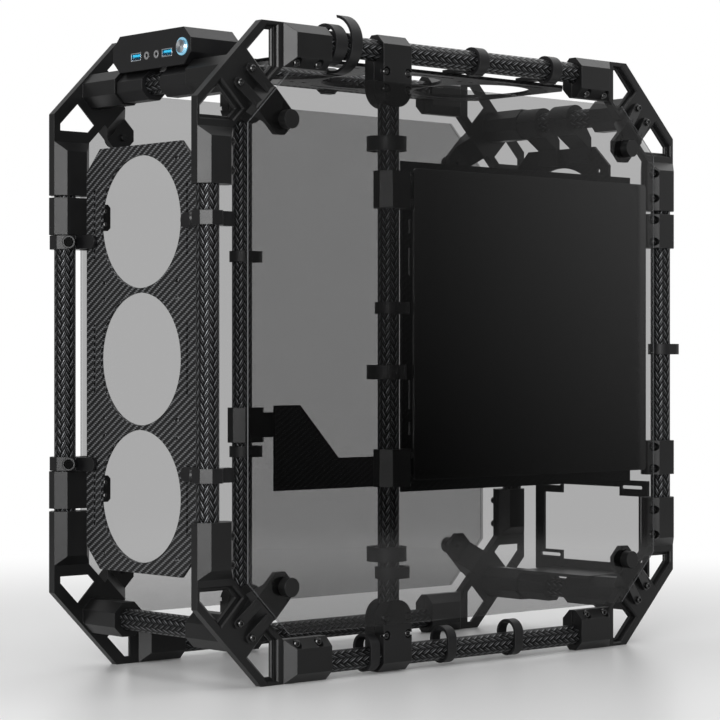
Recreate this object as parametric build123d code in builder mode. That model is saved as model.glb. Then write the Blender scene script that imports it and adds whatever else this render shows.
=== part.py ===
from build123d import *
import os

# Open-frame computer case. Carbon tubes are held by milled corner brackets and tee clamps.
# Fan plates, a motherboard tray, a power supply bracket and two clear side panels hang on the frame.
# Millimetres. X is positive to the right, the front faces negative Y, Z is up.
# The origin is on the ground, in the middle of the case.

os.makedirs("parts", exist_ok=True)

# Whole frame
FRAME_DEPTH = 605.2
FRAME_HEIGHT = 570.4
SIDE_SPACING = 207.0
MID_POST_SETBACK = 221.1

# Tubes, with the depth of their axes below the outline of the case
TUBE_DIAMETER = 19.4
TUBE_WALL = 2.0
TUBE_INSET = 14.6
CROSS_INSET = 47.0
TUBE_FIT = 0.05
END_GAP = 0.3
END_WALL = 1.0

# Corner bracket: plate, windows, clamp blocks, cross socket and panel arm
PLATE = 8.0
CORNER_CUT = 70.0
CLAMP_WIDTH = 25.0
CLAMP_DEPTH = 38.5
BLOCK_START = 94.5
BLOCK_LENGTH = 48.5
WINDOW_EDGE_WALL = 6.8
WINDOW_BLOCK_WALL = 10.1
WINDOW_CUT_WALL = 10.75
WINDOW_ARM_HALF = 23.3
WINDOW_REACH = 86.3
WINDOW_BEVEL = 1.3
WINDOW_LEDGE = 1.8
WINDOW_STEP_DEPTH = 5.3
PLATE_RIM = 3.0
SOCKET_ACROSS = 31.0
SOCKET_LENGTH = 48.5
ARM_WIDTH = 28.3
ARM_START = 86.0
ARM_END = 131.7
ARM_CHAMFER = 7.0
KNOB_INSET = 85.5

# Slit that lets a clamp close on its tube
CLAMP_SLIT = 1.0

# Tee clamps at the two ends of a middle post
TEE_WIDTH = 34.0
TEE_TOP = 1.0
TEE_CENTRE = 48.0
TEE_WEB = 2.7

# Clamps with a tab, which carry the tray and the riser bracket
TAB_CLAMP_HEIGHT = 33.5
TAB_THICKNESS = 4.0
TAB_HEIGHT = 24.0
TAB_REACH = 24.0
TAB_HOLE = 4.0
TAB_HOLE_PITCH = 12.0

# Side panels and their thumb knobs
PANEL_THICKNESS = 4.0
PANEL_OFFSET = 13.5
PANEL_EDGE_INSET = 44.2
PANEL_CHAMFER = 46.5
KNOB_DIAMETER = 16.5
KNOB_LENGTH = 8.5
STEM_DIAMETER = 6.0
STEM_CLEARANCE = 0.3
STEM_REACH = 12.0

# Fan plates
FAN_PITCH = 120.0
FAN_OPENING = 116.0
FAN_SCREW_PITCH = 105.0
FAN_SCREW_HOLE = 4.5
FAN_PLATE = 3.0
FAN_PLATE_WIDTH = 158.0
FAN_PLATE_LENGTH = 374.4
FAN_PLATE_CUT = 20.0
FAN_SLOT_OFFSET = 67.0
FAN_SLOT_LENGTH = 61.6
FAN_SLOT_WIDTH = 3.0
FRONT_PLATE_BACKSET = 6.5
FRONT_PLATE_LOWERING = 5.0
TOP_PLATE_BACKSET = 8.9
TOP_PLATE_REARWARD = 5.0

# Clips that hold the long fan plates on the tubes
CLIP_WIDTH = 12.4
CLIP_COLLAR = 26.0
CLIP_CORNER = 7.6
CLIP_ARM = 4.0
CLIP_LAP = 16.4
CLIP_TAIL = 25.0
CLIP_TAIL_WIDTH = 9.0
FRONT_CLIP_DROP = 171.6
FRONT_CLIP_BOTTOM = 182.0
TOP_CLIP_SETBACK = 330.6
TOP_CLIP_REAR_INSET = 176.6

# Rear fan plate and the hangers on the rear cross tube
REAR_PLATE_WIDTH = 133.0
REAR_PLATE_HEIGHT = 155.0
REAR_PLATE_GAP = 1.0
REAR_PLATE_BACKSET = 21.1
REAR_PLATE_DROP = 26.4
HANGER_WIDTH = 26.0
HANGER_DIAMETER = 30.0
HANGER_THICKNESS = 5.0
HANGER_LAP = 17.0
HANGER_POSITIONS = (-38.0, 6.3)

# Motherboard tray, its slots as centre above the tray's middle and length, and its cover
TRAY_THICKNESS = 3.0
TRAY_DROP = 110.1
TRAY_BOTTOM = 159.5
TRAY_FRONT_GAP = 4.6
TRAY_REAR_GAP = 7.1
TRAY_SLOT_WIDTH = 3.0
TRAY_SLOT_INSET = 10.0
TRAY_SLOTS = ((91.3, 12.7), (59.5, 25.7), (-62.2, 25.8), (-93.1, 11.2))
COVER_THICKNESS = 2.0
COVER_GAP = 17.0
COVER_DROP = 7.9
COVER_RISE = 11.5
COVER_FRONT_GAP = 1.6
COVER_REAR_GAP = 5.1
COVER_CORNER = 4.0
STANDOFF_DIAMETER = 8.0
STANDOFF_INSET = 32.0
TRAY_CLAMP_DROP_MID = 138.5
TRAY_CLAMP_DROP_REAR = 163.1
TRAY_CLAMP_BOTTOM = 182.6
SPARE_CLAMP_DROP = 161.7
SPARE_CLAMP_BOTTOM = 162.3
CLAMP_GAP = 0.6

# Riser bracket on the left side
RISER_THICKNESS = 3.0
RISER_BOTTOM = 153.0
RISER_BAND = 30.0
RISER_TOP = 235.5
RISER_HEAD = 32.0
RISER_SLOPE_RUN = 50.0
RISER_CLAMP_MID = 217.0
RISER_CLAMP_REAR = 168.0

# Power supply bracket
PSU_SHEET = 3.0
PSU_WIDTH = 156.0
PSU_HEIGHT = 97.0
PSU_OPENING_WIDTH = 132.0
PSU_OPENING_HEIGHT = 78.0
PSU_OPENING_RAISE = 12.0
PSU_SLOT_MARGIN = 2.25
PSU_EAR_HEIGHT = 9.0
PSU_SHEET_INSET = 1.6
PSU_FLANGE_DEPTH = 60.0
PSU_SLOT_LENGTH = 28.5
PSU_SLOT_WIDTH = 3.5
PSU_HOLE_SPAN = 113.0
PSU_HOLE_RISE = 74.0
PSU_HOLE_BASE = 16.0

# Octagonal clamps on the cross tubes, with a flat seat on top
CARRIER_LENGTH = 36.5
CARRIER_OFFSET = 31.25
CARRIER_ACROSS = 28.0
CARRIER_CORNER = 8.0
CARRIER_FRONT_SEAT = 11.3
CARRIER_REAR_SEAT = 13.0

# Port box with its sockets and the power button
BOX_WIDTH = 112.0
BOX_HEIGHT = 32.6
BOX_DEPTH = 54.0
BOX_FRONT_INSET = 33.6
BOX_CORNER = 10.0
PORT_RISE = 12.3
PORT_FIT = 0.05
USB_OFFSET = 22.4
USB_WIDTH = 14.5
USB_HEIGHT = 7.0
USB_DEPTH = 14.0
USB_SHELL = 0.7
TONGUE_WIDTH = 11.0
TONGUE_THICKNESS = 2.0
TONGUE_RAISE = 1.2
TONGUE_SETBACK = 1.0
JACK_OFFSET = 7.0
JACK_DIAMETER = 7.0
JACK_BORE = 3.5
JACK_DEPTH = 14.0
JACK_FLOOR = 2.0
BUTTON_OFFSET = 44.0
BUTTON_RISE = 15.6
BEZEL_DIAMETER = 15.5
BEZEL_DEPTH = 8.0
BEZEL_PROUD = 0.8
BUTTON_DIAMETER = 11.5
BUTTON_CLEARANCE = 0.25
BUTTON_LENGTH = 9.0
BUTTON_PROUD = 2.4
BUTTON_TRAVEL = 1.5

# Rings and loops for cables
RING_WALL = 2.5
RING_DIAMETER = 36.0
RING_WIDTH = 13.0
RING_DROP = 96.8
RING_HEIGHTS = (268.5, 105.2)
RAIL_RING_SETBACK = 155.0
LOOP_ROOM = 9.5
LOOP_WIDTH = 10.5
LOOP_HEIGHTS_RIGHT = (326.0, 88.7)
LOOP_HEIGHTS_LEFT = (378.6, 191.5)
REAR_LOOP_DROP = 280.2
LOOP_SETBACKS_FLOOR = (194.6, 289.6, 376.6)
HOOK_RING_DIAMETER = 52.0
HOOK_RING_WIDTH = 12.0
HOOK_RING_SETBACK = 173.0
HOOK_RING_MOUTH = 83.0

# Places worked out from the sizes above
RIGHT_X = SIDE_SPACING / 2
FRONT_Y = -FRAME_DEPTH / 2
REAR_Y = FRAME_DEPTH / 2
MID_Y = FRONT_Y + MID_POST_SETBACK
FRONT_POST_Y = FRONT_Y + TUBE_INSET
REAR_POST_Y = REAR_Y - TUBE_INSET
TOP_RAIL_Z = FRAME_HEIGHT - TUBE_INSET
FRONT_CROSS_Y = FRONT_Y + CROSS_INSET
REAR_CROSS_Y = REAR_Y - CROSS_INSET
TOP_CROSS_Z = FRAME_HEIGHT - CROSS_INSET
TUBE_RADIUS = TUBE_DIAMETER / 2
BORE_RADIUS = TUBE_RADIUS + TUBE_FIT
CLAMP_HALF = CLAMP_WIDTH / 2
CLAMP_FACET = (CLAMP_WIDTH - PLATE) / 2
NOSE_REACH = CLAMP_DEPTH - TUBE_INSET
BLOCK_END = BLOCK_START + BLOCK_LENGTH
TUBE_SEAT = BLOCK_START + CLAMP_FACET + END_WALL
TEE_SEAT = TUBE_INSET + TUBE_RADIUS + TEE_WEB
PLATE_FACE = RIGHT_X + PLATE / 2
PLATE_BACK = RIGHT_X - PLATE / 2
PANEL_FACE = RIGHT_X + PANEL_OFFSET
INNER_FACE = RIGHT_X - CLAMP_HALF
ROOT_TWO = 2 ** 0.5
TRAY_TOP = FRAME_HEIGHT - TRAY_DROP
SPARE_CLAMP_TOP = FRAME_HEIGHT - SPARE_CLAMP_DROP

# Planes of symmetry: through the front top edge of a bracket, and half way up the case
DIAGONAL = Plane(origin=(0, FRONT_Y, FRAME_HEIGHT), z_dir=(0, 1, 1))
HALF_HEIGHT = Plane.XY.offset(FRAME_HEIGHT / 2)
ALONG_ARM = Axis((0, FRONT_Y, FRAME_HEIGHT), (0, 1, -1))

SIDES = {"right": 1, "left": -1}
ENDS = ("front", "rear")
LEVELS = ("top", "bottom")


def save(part, name):
    """Label a finished piece and write it to its own file."""
    part.label = name
    export_step(part, f"parts/{name}.step")


def side_plane(x):
    """Sketch plane at X = x that looks inward, measured inward from the front and down from the top."""
    return Plane(origin=(x, FRONT_Y, FRAME_HEIGHT), x_dir=(0, 1, 0), z_dir=(-1, 0, 0))


def placed(part, side="right", end="front", level="top"):
    """Reflect a piece of the front right top corner to another corner of the case."""
    if side == "left":
        part = part.mirror(Plane.YZ)
    if end == "rear":
        part = part.mirror(Plane.XZ)
    if level == "bottom":
        part = part.mirror(HALF_HEIGHT)
    return part


# Corner bracket, drawn for the front right top corner. Half of it is drawn and reflected.
def clamp_block():
    """Eight-sided clamp block round the end of a rail, sloping down to the plate at its start."""
    start = Plane(origin=(RIGHT_X, FRONT_Y + BLOCK_START, FRAME_HEIGHT), x_dir=(0, 0, -1), z_dir=(0, 1, 0))
    with BuildPart() as block:
        with BuildSketch(start) as section:
            Rectangle(CLAMP_DEPTH, CLAMP_WIDTH, align=(Align.MIN, Align.CENTER))
            chamfer(section.vertices(), CLAMP_FACET)
        extrude(amount=BLOCK_LENGTH)
        with BuildSketch(Plane.XY.offset(FRAME_HEIGHT)):
            with BuildLine(Plane.XY.shift_origin((RIGHT_X, FRONT_Y + BLOCK_START))):
                Polyline(
                    (-PLATE / 2, 0),
                    (-CLAMP_HALF, CLAMP_FACET),
                    (-CLAMP_HALF, BLOCK_LENGTH),
                    (CLAMP_HALF, BLOCK_LENGTH),
                    (CLAMP_HALF, CLAMP_FACET),
                    (PLATE / 2, 0),
                    close=True,
                )
            make_face()
        extrude(amount=-CLAMP_DEPTH, mode=Mode.INTERSECT)
        with BuildSketch(start.offset(BLOCK_LENGTH)):
            with Locations((TUBE_INSET, 0)):
                Circle(BORE_RADIUS)
        extrude(amount=TUBE_SEAT - END_GAP - BLOCK_END, mode=Mode.SUBTRACT)
        with BuildSketch(side_plane(RIGHT_X)):
            with Locations((BLOCK_END, TUBE_INSET)):
                Rectangle(BLOCK_END - TUBE_SEAT, NOSE_REACH, align=(Align.MAX, Align.MIN))
        extrude(amount=CLAMP_SLIT / 2, both=True, mode=Mode.SUBTRACT)
    return block.part


def window(grow):
    """Five-sided window beside the rail block, widened on every side."""
    cut_sum = CORNER_CUT + WINDOW_CUT_WALL * ROOT_TWO
    reach_sum = WINDOW_REACH * ROOT_TWO
    arm_difference = WINDOW_ARM_HALF * ROOT_TWO
    far = BLOCK_START - WINDOW_BLOCK_WALL
    with BuildSketch() as opening:
        with BuildLine():
            Polyline(
                (cut_sum - WINDOW_EDGE_WALL, WINDOW_EDGE_WALL),
                ((cut_sum + arm_difference) / 2, (cut_sum - arm_difference) / 2),
                ((reach_sum + arm_difference) / 2, (reach_sum - arm_difference) / 2),
                (far, reach_sum - far),
                (far, WINDOW_EDGE_WALL),
                close=True,
            )
        make_face()
        if grow > 0:
            offset(amount=grow, kind=Kind.INTERSECTION)
    return opening.sketch


def panel_arm():
    """Arm that reaches in along the diagonal and steps out to carry the corner of a side panel."""
    outer = Plane(origin=(PANEL_FACE, FRONT_Y, FRAME_HEIGHT), x_dir=(0, 1, -1), z_dir=(-1, 0, 0))
    with BuildPart() as arm:
        with BuildSketch(outer) as outline:
            with Locations((ARM_START, 0)):
                Rectangle(ARM_END - ARM_START, ARM_WIDTH, align=(Align.MIN, Align.CENTER))
            chamfer(outline.vertices().group_by(Axis.X)[-1], ARM_CHAMFER)
        extrude(amount=PANEL_OFFSET + PLATE / 2)
        root = arm.faces().sort_by(Axis.X)[-1].edges().sort_by(ALONG_ARM)[0]
        chamfer(root, PANEL_OFFSET - PLATE / 2)
    return arm.part


with BuildPart() as corner:
    rim_sum = (WINDOW_REACH + WINDOW_LEDGE + 2 * WINDOW_BEVEL + PLATE_RIM) * ROOT_TWO
    arm_step = ARM_WIDTH / 2 * ROOT_TWO
    with BuildSketch(side_plane(PLATE_FACE)):
        with BuildLine():
            Polyline(
                (CORNER_CUT / 2, CORNER_CUT / 2),
                (CORNER_CUT, 0),
                (BLOCK_START, 0),
                (BLOCK_START, CLAMP_DEPTH),
                (rim_sum - CLAMP_DEPTH, CLAMP_DEPTH),
                ((rim_sum + arm_step) / 2, (rim_sum - arm_step) / 2),
                (rim_sum / 2, rim_sum / 2),
                close=True,
            )
        make_face()
    extrude(amount=PLATE)
    with BuildSketch(side_plane(PLATE_FACE)):
        add(window(0))
    extrude(amount=PLATE, mode=Mode.SUBTRACT)
    with BuildSketch(side_plane(PLATE_FACE)):
        add(window(WINDOW_LEDGE + WINDOW_BEVEL))
    extrude(amount=WINDOW_STEP_DEPTH, mode=Mode.SUBTRACT)
    with BuildSketch(side_plane(PLATE_FACE)):
        add(window(WINDOW_LEDGE + 2 * WINDOW_BEVEL))
    extrude(amount=WINDOW_BEVEL, taper=45, mode=Mode.SUBTRACT)
    with BuildSketch(side_plane(PLATE_FACE - WINDOW_STEP_DEPTH)):
        add(window(WINDOW_BEVEL))
    extrude(amount=WINDOW_BEVEL, taper=45, mode=Mode.SUBTRACT)
    add(clamp_block())
    mirror(about=DIAGONAL)
    add(panel_arm())
    with BuildSketch(side_plane(PLATE_BACK)):
        with Locations((CROSS_INSET, CROSS_INSET)):
            RegularPolygon(SOCKET_ACROSS / 2, 8, major_radius=False, rotation=22.5)
    extrude(amount=SOCKET_LENGTH)
    with BuildSketch(side_plane(PLATE_BACK - SOCKET_LENGTH)):
        with Locations((CROSS_INSET, CROSS_INSET)):
            Circle(BORE_RADIUS)
    extrude(amount=END_WALL - SOCKET_LENGTH, mode=Mode.SUBTRACT)
    with BuildSketch(side_plane(PANEL_FACE)):
        with Locations((KNOB_INSET, KNOB_INSET)):
            Circle(STEM_DIAMETER / 2 + STEM_CLEARANCE)
    extrude(amount=PANEL_OFFSET + PLATE / 2, mode=Mode.SUBTRACT)

for side in SIDES:
    for end in ENDS:
        for level in LEVELS:
            save(placed(corner.part, side, end, level), f"corner_{end}_{side}_{level}")


# Tubes
def tube(start, length):
    """Hollow tube along the normal of its start plane."""
    with BuildPart() as pipe:
        with BuildSketch(start):
            Circle(TUBE_RADIUS)
            Circle(TUBE_RADIUS - TUBE_WALL, mode=Mode.SUBTRACT)
        extrude(amount=length)
    return pipe.part


post_length = FRAME_HEIGHT - 2 * TUBE_SEAT
rail_length = FRAME_DEPTH - 2 * TUBE_SEAT
mid_post_length = FRAME_HEIGHT - 2 * TEE_SEAT
cross_reach = PLATE_BACK - END_WALL - END_GAP
for side, sign in SIDES.items():
    for end, post_y in (("front", FRONT_POST_Y), ("rear", REAR_POST_Y)):
        foot = Plane.XY.shift_origin((sign * RIGHT_X, post_y, 0)).offset(TUBE_SEAT)
        save(tube(foot, post_length), f"post_{end}_{side}")
    foot = Plane.XY.shift_origin((sign * RIGHT_X, MID_Y, 0)).offset(TEE_SEAT)
    save(tube(foot, mid_post_length), f"post_middle_{side}")
    for level, rail_z in (("top", TOP_RAIL_Z), ("bottom", TUBE_INSET)):
        front = Plane(origin=(sign * RIGHT_X, FRONT_Y + TUBE_SEAT, rail_z), z_dir=(0, 1, 0))
        save(tube(front, rail_length), f"rail_{side}_{level}")
for end, cross_y in (("front", FRONT_CROSS_Y), ("rear", REAR_CROSS_Y)):
    for level, cross_z in (("top", TOP_CROSS_Z), ("bottom", CROSS_INSET)):
        left = Plane(origin=(-cross_reach, cross_y, cross_z), z_dir=(1, 0, 0))
        save(tube(left, 2 * cross_reach), f"cross_tube_{end}_{level}")


# Tee clamp, drawn for the right side and the top
with BuildPart() as tee:
    with BuildSketch(side_plane(RIGHT_X + CLAMP_HALF)):
        with Locations((MID_POST_SETBACK, TEE_TOP)):
            Rectangle(TEE_WIDTH, TEE_CENTRE - TEE_TOP, align=(Align.CENTER, Align.MIN))
        with Locations((MID_POST_SETBACK, TEE_CENTRE)):
            Circle(TEE_WIDTH / 2)
    extrude(amount=CLAMP_WIDTH)
    top_edges = tee.faces().sort_by(Axis.Z)[-1].edges().filter_by(Axis.Y)
    chamfer(top_edges, CLAMP_FACET)
    with BuildSketch(Plane.XZ.offset(-MID_Y)):
        with Locations((RIGHT_X, TOP_RAIL_Z)):
            Circle(BORE_RADIUS)
    extrude(amount=TEE_WIDTH / 2, both=True, mode=Mode.SUBTRACT)
    with BuildSketch(Plane.XY.offset(FRAME_HEIGHT - TEE_SEAT + END_GAP)):
        with Locations((RIGHT_X, MID_Y)):
            Circle(BORE_RADIUS)
    extrude(amount=TEE_SEAT - END_GAP - TEE_CENTRE - TEE_WIDTH / 2, mode=Mode.SUBTRACT)
    with BuildSketch(side_plane(RIGHT_X)):
        with Locations((MID_POST_SETBACK, TUBE_INSET)):
            Rectangle(TEE_WIDTH, TEE_CENTRE + TEE_WIDTH / 2 - TUBE_INSET, align=(Align.CENTER, Align.MIN))
    extrude(amount=CLAMP_SLIT / 2, both=True, mode=Mode.SUBTRACT)

for side in SIDES:
    for level in LEVELS:
        save(placed(tee.part, side, "front", level), f"tee_{side}_{level}")


# Clamps with a tab
def tab_clamp(sign, post_y, inward, centre, is_drilled=False):
    """Pinch clamp on a post. Its nose points along the case, and a tab on the inner side carries a sheet."""
    base = Plane(origin=(sign * RIGHT_X, post_y, centre), x_dir=(0, inward, 0), z_dir=(0, 0, 1))
    tab_side = sign * inward
    tab_centre = tab_side * (CLAMP_HALF - TAB_THICKNESS / 2)
    tab_face = Plane(
        origin=(sign * INNER_FACE, post_y + inward * (NOSE_REACH + TAB_REACH / 2), centre),
        x_dir=(0, 1, 0),
        z_dir=(sign, 0, 0),
    )
    with BuildPart() as clamp:
        with BuildSketch(base) as section:
            with Locations((-TUBE_INSET, 0)):
                Rectangle(CLAMP_DEPTH, CLAMP_WIDTH, align=(Align.MIN, Align.CENTER))
            chamfer(section.vertices(), CLAMP_FACET)
            Circle(BORE_RADIUS, mode=Mode.SUBTRACT)
            Rectangle(NOSE_REACH, CLAMP_SLIT, align=(Align.MIN, Align.CENTER), mode=Mode.SUBTRACT)
        extrude(amount=TAB_CLAMP_HEIGHT / 2, both=True)
        with BuildSketch(base):
            with Locations((NOSE_REACH + TAB_REACH, tab_centre)):
                Rectangle(TAB_REACH + CLAMP_FACET, TAB_THICKNESS, align=(Align.MAX, Align.CENTER))
        extrude(amount=TAB_HEIGHT / 2, both=True)
        if is_drilled:
            with BuildSketch(tab_face):
                with GridLocations(1, TAB_HOLE_PITCH, 1, 2):
                    Circle(TAB_HOLE / 2)
            extrude(amount=TAB_THICKNESS, mode=Mode.SUBTRACT)
    return clamp.part


with BuildPart() as tray_clamps:
    for height in (FRAME_HEIGHT - TRAY_CLAMP_DROP_MID, TRAY_CLAMP_BOTTOM):
        add(tab_clamp(1, MID_Y, 1, height))
    for height in (FRAME_HEIGHT - TRAY_CLAMP_DROP_REAR, TRAY_CLAMP_BOTTOM):
        add(tab_clamp(1, REAR_POST_Y, -1, height))
save(tray_clamps.part, "tray_clamps")

with BuildPart() as riser_clamps:
    add(tab_clamp(-1, MID_Y, 1, RISER_CLAMP_MID))
    add(tab_clamp(-1, REAR_POST_Y, -1, RISER_CLAMP_REAR))
save(riser_clamps.part, "riser_clamps")

with BuildPart() as spare_clamps:
    for height in (SPARE_CLAMP_TOP, SPARE_CLAMP_BOTTOM):
        add(tab_clamp(-1, FRONT_POST_Y, 1, height, is_drilled=True))
save(spare_clamps.part, "spare_clamps")


# Motherboard tray between the tray clamps, and the cover that stands off it
tray_front = MID_Y + NOSE_REACH + TRAY_FRONT_GAP
tray_rear = REAR_POST_Y - NOSE_REACH - TRAY_REAR_GAP
with BuildPart() as motherboard_tray:
    with BuildSketch(Plane.YZ.offset(INNER_FACE)):
        with Locations(((tray_front + tray_rear) / 2, (TRAY_BOTTOM + TRAY_TOP) / 2)):
            Rectangle(tray_rear - tray_front, TRAY_TOP - TRAY_BOTTOM)
            for height, length in TRAY_SLOTS:
                with Locations((0, height)):
                    with GridLocations(tray_rear - tray_front - 2 * TRAY_SLOT_INSET, 1, 2, 1):
                        Rectangle(TRAY_SLOT_WIDTH, length, mode=Mode.SUBTRACT)
    extrude(amount=-TRAY_THICKNESS)
save(motherboard_tray.part, "motherboard_tray")

cover_front = MID_Y + NOSE_REACH + COVER_FRONT_GAP
cover_rear = REAR_POST_Y - NOSE_REACH - COVER_REAR_GAP
cover_height = TRAY_TOP - COVER_DROP - TRAY_BOTTOM - COVER_RISE
cover_centre = ((cover_front + cover_rear) / 2, TRAY_TOP - COVER_DROP - cover_height / 2)
with BuildPart() as tray_cover:
    with BuildSketch(Plane.YZ.offset(INNER_FACE + COVER_GAP)) as sheet:
        with Locations(cover_centre):
            Rectangle(cover_rear - cover_front, cover_height)
        fillet(sheet.vertices(), COVER_CORNER)
    extrude(amount=COVER_THICKNESS)
save(tray_cover.part, "tray_cover")

with BuildPart() as cover_standoffs:
    with BuildSketch(Plane.YZ.offset(INNER_FACE)):
        with Locations(cover_centre):
            with GridLocations(
                cover_rear - cover_front - 2 * STANDOFF_INSET, cover_height - 2 * STANDOFF_INSET, 2, 2
            ):
                Circle(STANDOFF_DIAMETER / 2)
    extrude(amount=COVER_GAP)
save(cover_standoffs.part, "cover_standoffs")


# Riser bracket: a carbon sheet with a raised head at the middle post
riser_front = MID_Y + NOSE_REACH + TRAY_FRONT_GAP
riser_rear = REAR_POST_Y - NOSE_REACH - COVER_REAR_GAP
with BuildPart() as riser_bracket:
    with BuildSketch(Plane.YZ.offset(-INNER_FACE)):
        with BuildLine():
            Polyline(
                (riser_front, RISER_BOTTOM),
                (riser_front, RISER_TOP),
                (riser_front + RISER_HEAD, RISER_TOP),
                (riser_front + RISER_HEAD + RISER_SLOPE_RUN, RISER_BOTTOM + RISER_BAND),
                (riser_rear, RISER_BOTTOM + RISER_BAND),
                (riser_rear, RISER_BOTTOM),
                close=True,
            )
        make_face()
    extrude(amount=RISER_THICKNESS)
save(riser_bracket.part, "riser_bracket")


# Side panels and thumb knobs
with BuildPart() as panel:
    with BuildSketch(Plane.YZ.offset(PANEL_FACE)) as sheet:
        with Locations((0, FRAME_HEIGHT / 2)):
            Rectangle(FRAME_DEPTH - 2 * PANEL_EDGE_INSET, FRAME_HEIGHT - 2 * PANEL_EDGE_INSET)
        chamfer(sheet.vertices(), PANEL_CHAMFER)
        with Locations((0, FRAME_HEIGHT / 2)):
            with GridLocations(FRAME_DEPTH - 2 * KNOB_INSET, FRAME_HEIGHT - 2 * KNOB_INSET, 2, 2):
                Circle(STEM_DIAMETER / 2 + STEM_CLEARANCE, mode=Mode.SUBTRACT)
    extrude(amount=PANEL_THICKNESS)

with BuildPart() as knobs:
    with BuildSketch(Plane.YZ.offset(PANEL_FACE + PANEL_THICKNESS)):
        with Locations((0, FRAME_HEIGHT / 2)):
            with GridLocations(FRAME_DEPTH - 2 * KNOB_INSET, FRAME_HEIGHT - 2 * KNOB_INSET, 2, 2):
                Circle(KNOB_DIAMETER / 2)
    extrude(amount=KNOB_LENGTH)
    with BuildSketch(Plane.YZ.offset(PANEL_FACE + PANEL_THICKNESS)):
        with Locations((0, FRAME_HEIGHT / 2)):
            with GridLocations(FRAME_DEPTH - 2 * KNOB_INSET, FRAME_HEIGHT - 2 * KNOB_INSET, 2, 2):
                Circle(STEM_DIAMETER / 2)
    extrude(amount=-STEM_REACH)

for side in SIDES:
    save(placed(panel.part, side), f"side_panel_{side}")
    save(placed(knobs.part, side), f"panel_knobs_{side}")


# Long fan plates. Both have the same outline, and their clips sit beside the tubes.
def long_fan_plate(plane):
    """Plate for three fans in a row, with its long way along the plane's second axis."""
    with BuildPart() as plate:
        with BuildSketch(plane) as outline:
            Rectangle(FAN_PLATE_WIDTH, FAN_PLATE_LENGTH)
            chamfer(outline.vertices(), FAN_PLATE_CUT)
            with GridLocations(1, FAN_PITCH, 1, 3):
                Circle(FAN_OPENING / 2, mode=Mode.SUBTRACT)
                with GridLocations(FAN_SCREW_PITCH, FAN_SCREW_PITCH, 2, 2):
                    Circle(FAN_SCREW_HOLE / 2, mode=Mode.SUBTRACT)
            with GridLocations(2 * FAN_SLOT_OFFSET, FAN_PITCH, 2, 3):
                Rectangle(FAN_SLOT_WIDTH, FAN_SLOT_LENGTH, mode=Mode.SUBTRACT)
        extrude(amount=FAN_PLATE)
    return plate.part


def fan_clip(plane, backset, is_round):
    """Clip round a tube. The plane's first axis points into the case and its second points outward."""
    reach = RIGHT_X - FAN_PLATE_WIDTH / 2 + CLIP_LAP
    arm_face = -backset + CLIP_ARM / 2
    with BuildPart() as clip:
        with BuildSketch(plane):
            with Locations((reach / 2, arm_face)):
                Rectangle(reach, CLIP_ARM)
        extrude(amount=CLIP_WIDTH / 2, both=True)
        tip = clip.faces().sort_by(Axis(plane.origin, plane.x_dir))[-1]
        fillet(tip.edges().filter_by(Axis(plane.origin, plane.y_dir)), CLIP_WIDTH / 2 - STEM_CLEARANCE)
        with BuildSketch(plane) as collar:
            if is_round:
                Circle(CLIP_COLLAR / 2)
            else:
                Rectangle(CLIP_COLLAR, CLIP_COLLAR)
                chamfer(collar.vertices(), CLIP_CORNER)
            with Locations((0, -CLIP_TAIL)):
                Rectangle(CLIP_TAIL_WIDTH, CLIP_TAIL, align=(Align.CENTER, Align.MIN))
        extrude(amount=CLIP_WIDTH / 2, both=True)
        with BuildSketch(plane):
            Circle(BORE_RADIUS)
            Rectangle(CLAMP_SLIT, CLIP_TAIL, align=(Align.CENTER, Align.MAX))
        extrude(amount=CLIP_WIDTH / 2, both=True, mode=Mode.SUBTRACT)
    return clip.part


front_plate_z = FRAME_HEIGHT / 2 - FRONT_PLATE_LOWERING
front_plate_y = FRONT_POST_Y + FRONT_PLATE_BACKSET
front_fan_plate = long_fan_plate(
    Plane(origin=(0, front_plate_y + FAN_PLATE, front_plate_z), x_dir=(1, 0, 0), z_dir=(0, -1, 0))
)
save(front_fan_plate, "front_fan_plate")

top_plate_z = TOP_RAIL_Z - TOP_PLATE_BACKSET
top_fan_plate = long_fan_plate(
    Plane(origin=(0, TOP_PLATE_REARWARD, top_plate_z - FAN_PLATE), x_dir=(1, 0, 0), z_dir=(0, 0, 1))
)
save(top_fan_plate, "top_fan_plate")

clip_reach = (TAB_CLAMP_HEIGHT + CLIP_WIDTH) / 2 + CLAMP_GAP
front_clips_right = [FRAME_HEIGHT - FRONT_CLIP_DROP, FRONT_CLIP_BOTTOM]
front_clips_left = [SPARE_CLAMP_TOP - clip_reach, SPARE_CLAMP_BOTTOM + clip_reach]
with BuildPart() as front_fan_clips:
    for sign, heights in ((1, front_clips_right), (-1, front_clips_left)):
        for height in heights:
            axis_point = (sign * RIGHT_X, FRONT_POST_Y, height)
            seat = Plane(origin=axis_point, x_dir=(-sign, 0, 0), z_dir=(0, 0, sign))
            add(fan_clip(seat, FRONT_PLATE_BACKSET, False))
save(front_fan_clips.part, "front_fan_clips")

with BuildPart() as top_fan_clips:
    for sign in SIDES.values():
        for clip_y in (FRONT_Y + TOP_CLIP_SETBACK, REAR_Y - TOP_CLIP_REAR_INSET):
            axis_point = (sign * RIGHT_X, clip_y, TOP_RAIL_Z)
            seat = Plane(origin=axis_point, x_dir=(-sign, 0, 0), z_dir=(0, sign, 0))
            add(fan_clip(seat, TOP_PLATE_BACKSET, True))
save(top_fan_clips.part, "top_fan_clips")


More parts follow.
